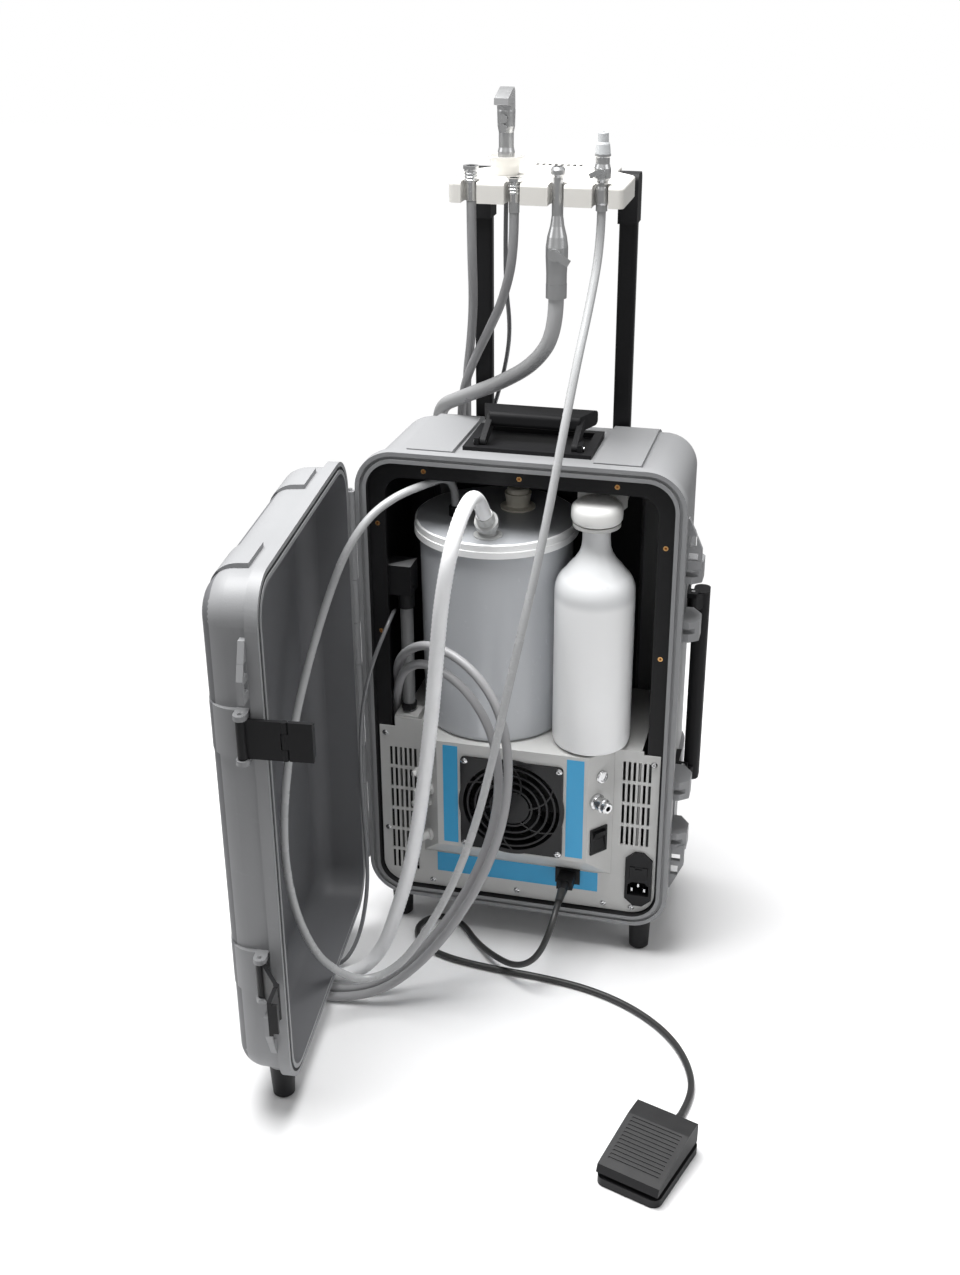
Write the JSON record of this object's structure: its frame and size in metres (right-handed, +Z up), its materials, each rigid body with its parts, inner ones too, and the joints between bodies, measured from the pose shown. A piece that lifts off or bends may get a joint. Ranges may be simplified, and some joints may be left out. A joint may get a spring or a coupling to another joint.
{
  "type": "portable dental unit",
  "caption": "Wheeled upright hard case with a hinged lid, service panel, waste tank, water bottle, telescopic handle with an instrument tray, hoses and a foot switch.",
  "frame": {"origin": "on the floor, at the middle of the case's width, in the plane of its front rim", "axes": "+Z up; +Y back, into the case; +X to the right as seen from the front; the lid stands open on the left"},
  "size_m": [0.5333, 0.6647, 0.9211],
  "materials": {
    "case_plastic": "fine grain",
    "gasket_rubber": "matt",
    "black_plastic": "fine grain",
    "latch_metal": "satin",
    "wheel_rubber": "matt",
    "post_metal": "satin",
    "panel_paint": "fine powder coat",
    "guard_wire": "satin",
    "fitting_metal": "polished",
    "pump_metal": "cast",
    "tank_plastic": "clear grey",
    "tank_lid_plastic": "polished",
    "port_plastic": "polished",
    "riser_plastic": "satin",
    "white_plastic": "satin",
    "valve_plastic": "satin",
    "syringe_metal": "polished",
    "handpiece_hose": "satin",
    "suction_hose": "ribbed",
    "saliva_hose": "ribbed",
    "syringe_hose": "polished",
    "cord_rubber": "satin"
  },
  "bodies": {
    "case": {"case_shell": "case_plastic", "case_feet": "black_plastic", "handle_brackets": "black_plastic", "case_pins": "latch_metal", "handle_guides": "black_plastic", "panel_ring": "black_plastic", "front_panel": "panel_paint", "chassis": "panel_paint", "fan_guard": "guard_wire", "fan_frame": "black_plastic", "mains_inlet": "black_plastic", "switch_frame": "black_plastic", "bay_fittings": "fitting_metal", "pumps": "pump_metal", "waste_tank": "tank_plastic", "tank_lid": "tank_lid_plastic", "tank_ports": "port_plastic", "riser": "riser_plastic", "bottle_cap": "white_plastic", "bottle_bracket": "panel_paint", "fasteners": "latch_metal", "foot_base": "black_plastic", "foot_plug": "black_plastic", "handpiece_hose_left": "handpiece_hose", "handpiece_hose_right": "handpiece_hose", "syringe_hose": "syringe_hose", "suction_hose": "suction_hose", "saliva_hose": "saliva_hose", "foot_cord": "cord_rubber"},
    "lid": {"lid_shell": "case_plastic", "lid_gasket": "gasket_rubber", "lid_foot": "black_plastic", "latch_pins": "latch_metal"},
    "upper_link": {"upper_latch_link": "latch_metal"},
    "upper_lever": {"upper_latch_lever": "black_plastic"},
    "lower_link": {"lower_latch_link": "latch_metal"},
    "lower_lever": {"lower_latch_lever": "black_plastic"},
    "left_wheel": {"wheel_left": "wheel_rubber"},
    "right_wheel": {"wheel_right": "wheel_rubber"},
    "fan": {"fan_rotor": "black_plastic"},
    "top_handle": {"top_handle": "black_plastic"},
    "side_handle": {"side_handle": "black_plastic"},
    "handle": {"handle_posts": "post_metal", "handle_grip": "black_plastic", "tray": "white_plastic", "syringe_cup": "white_plastic", "handpiece_couplings": "fitting_metal", "suction_handpiece": "valve_plastic", "saliva_handpiece": "valve_plastic", "syringe": "syringe_metal"},
    "release": {"release_button": "black_plastic"},
    "suction_valve": {"suction_valve": "valve_plastic"},
    "saliva_valve": {"saliva_valve": "valve_plastic"},
    "air_button": {"air_button": "syringe_metal"},
    "water_button": {"water_button": "syringe_metal"},
    "rocker": {"switch_rocker": "black_plastic"},
    "fuse_drawer": {"fuse_drawer": "black_plastic"},
    "port_cap": {"port_cap": "white_plastic"},
    "bottle": {"water_bottle": "white_plastic"},
    "treadle": {"foot_treadle": "black_plastic"}
  },
  "joints": [
    {"name": "lid_hinge", "type": "hinge", "parent": "case", "child": "lid", "pos_m": [-0.177, 0, 0.31], "axis": [0, 0, 1], "range_deg": [-90, 84.3], "deforming": ["foot_cord"]},
    {"name": "upper_link_hinge", "type": "hinge", "parent": "lid", "child": "upper_link", "pos_m": [-0.16164, -0.35523, 0.438], "axis": [0, 0, 1], "range_deg": [-110, 0]},
    {"name": "upper_lever_hinge", "type": "hinge", "parent": "upper_link", "child": "upper_lever", "pos_m": [-0.12403, -0.34947, 0.438], "axis": [0, 0, 1], "range_deg": [-100, 0]},
    {"name": "lower_link_hinge", "type": "hinge", "parent": "lid", "child": "lower_link", "pos_m": [-0.16164, -0.35523, 0.182], "axis": [0, 0, 1], "range_deg": [-55, 55]},
    {"name": "lower_lever_hinge", "type": "hinge", "parent": "lower_link", "child": "lower_lever", "pos_m": [-0.13535, -0.38274, 0.182], "axis": [0, 0, 1], "range_deg": [-65, 35]},
    {"name": "left_wheel_spin", "type": "hinge", "parent": "case", "child": "left_wheel", "pos_m": [-0.135, 0.16, 0.038], "axis": [1, 0, 0], "continuous": true},
    {"name": "right_wheel_spin", "type": "hinge", "parent": "case", "child": "right_wheel", "pos_m": [0.135, 0.16, 0.038], "axis": [1, 0, 0], "continuous": true},
    {"name": "fan_spin", "type": "hinge", "parent": "case", "child": "fan", "pos_m": [0, 0, 0.1905], "axis": [0, 1, 0], "continuous": true},
    {"name": "top_handle_hinge", "type": "hinge", "parent": "case", "child": "top_handle", "pos_m": [0, 0.053, 0.5805], "axis": [1, 0, 0], "range_deg": [0, 117]},
    {"name": "side_handle_hinge", "type": "hinge", "parent": "case", "child": "side_handle", "pos_m": [0.1755, 0.063, 0.31], "axis": [0, 0, 1], "range_deg": [-90, 0]},
    {"name": "handle_slide", "type": "slide", "parent": "case", "child": "handle", "axis": [0, 0, 1], "range_m": [-0.09, 0], "deforming": ["handpiece_hose_left", "handpiece_hose_right", "syringe_hose", "suction_hose", "saliva_hose"]},
    {"name": "release_press", "type": "slide", "parent": "handle", "child": "release", "axis": [0, 0, 1], "range_m": [0, 0.0035], "stiffness_N_per_m": 300, "springref_m": -0.003},
    {"name": "suction_valve_turn", "type": "hinge", "parent": "handle", "child": "suction_valve", "pos_m": [0.0225, 0.071, 0.773], "axis": [0, 1, 0], "range_deg": [0, 90]},
    {"name": "saliva_valve_turn", "type": "hinge", "parent": "handle", "child": "saliva_valve", "pos_m": [0.0655, 0.071, 0.8505], "axis": [0, 1, 0], "range_deg": [0, 90]},
    {"name": "air_press", "type": "slide", "parent": "handle", "child": "air_button", "axis": [0, 1, 0], "range_m": [0, 0.002], "stiffness_N_per_m": 300, "springref_m": -0.003},
    {"name": "water_press", "type": "slide", "parent": "handle", "child": "water_button", "axis": [0, 1, 0], "range_m": [0, 0.002], "stiffness_N_per_m": 300, "springref_m": -0.003},
    {"name": "switch_rock", "type": "hinge", "parent": "case", "child": "rocker", "pos_m": [0.09298, -0.00751, 0.1545], "axis": [-0.6529, -0.7574, 0], "range_deg": [0, 7.5]},
    {"name": "fuse_drawer_slide", "type": "slide", "parent": "case", "child": "fuse_drawer", "axis": [0, -1, 0], "range_m": [0, 0.015]},
    {"name": "port_cap_lift", "type": "slide", "parent": "case", "child": "port_cap", "axis": [0, 0, 1], "range_m": [0, 0.02]},
    {"name": "bottle_turn", "type": "hinge", "parent": "case", "child": "bottle", "pos_m": [0.0785, 0.02, 0.262], "axis": [0, 0, 1], "continuous": true},
    {"name": "treadle_press", "type": "hinge", "parent": "case", "child": "treadle", "pos_m": [0.21158, -0.28852, 0.016], "axis": [0.9511, -0.309, 0], "range_deg": [0, 3.4], "stiffness_Nm_per_rad": 2, "springref_deg": -5.73}
  ]
}
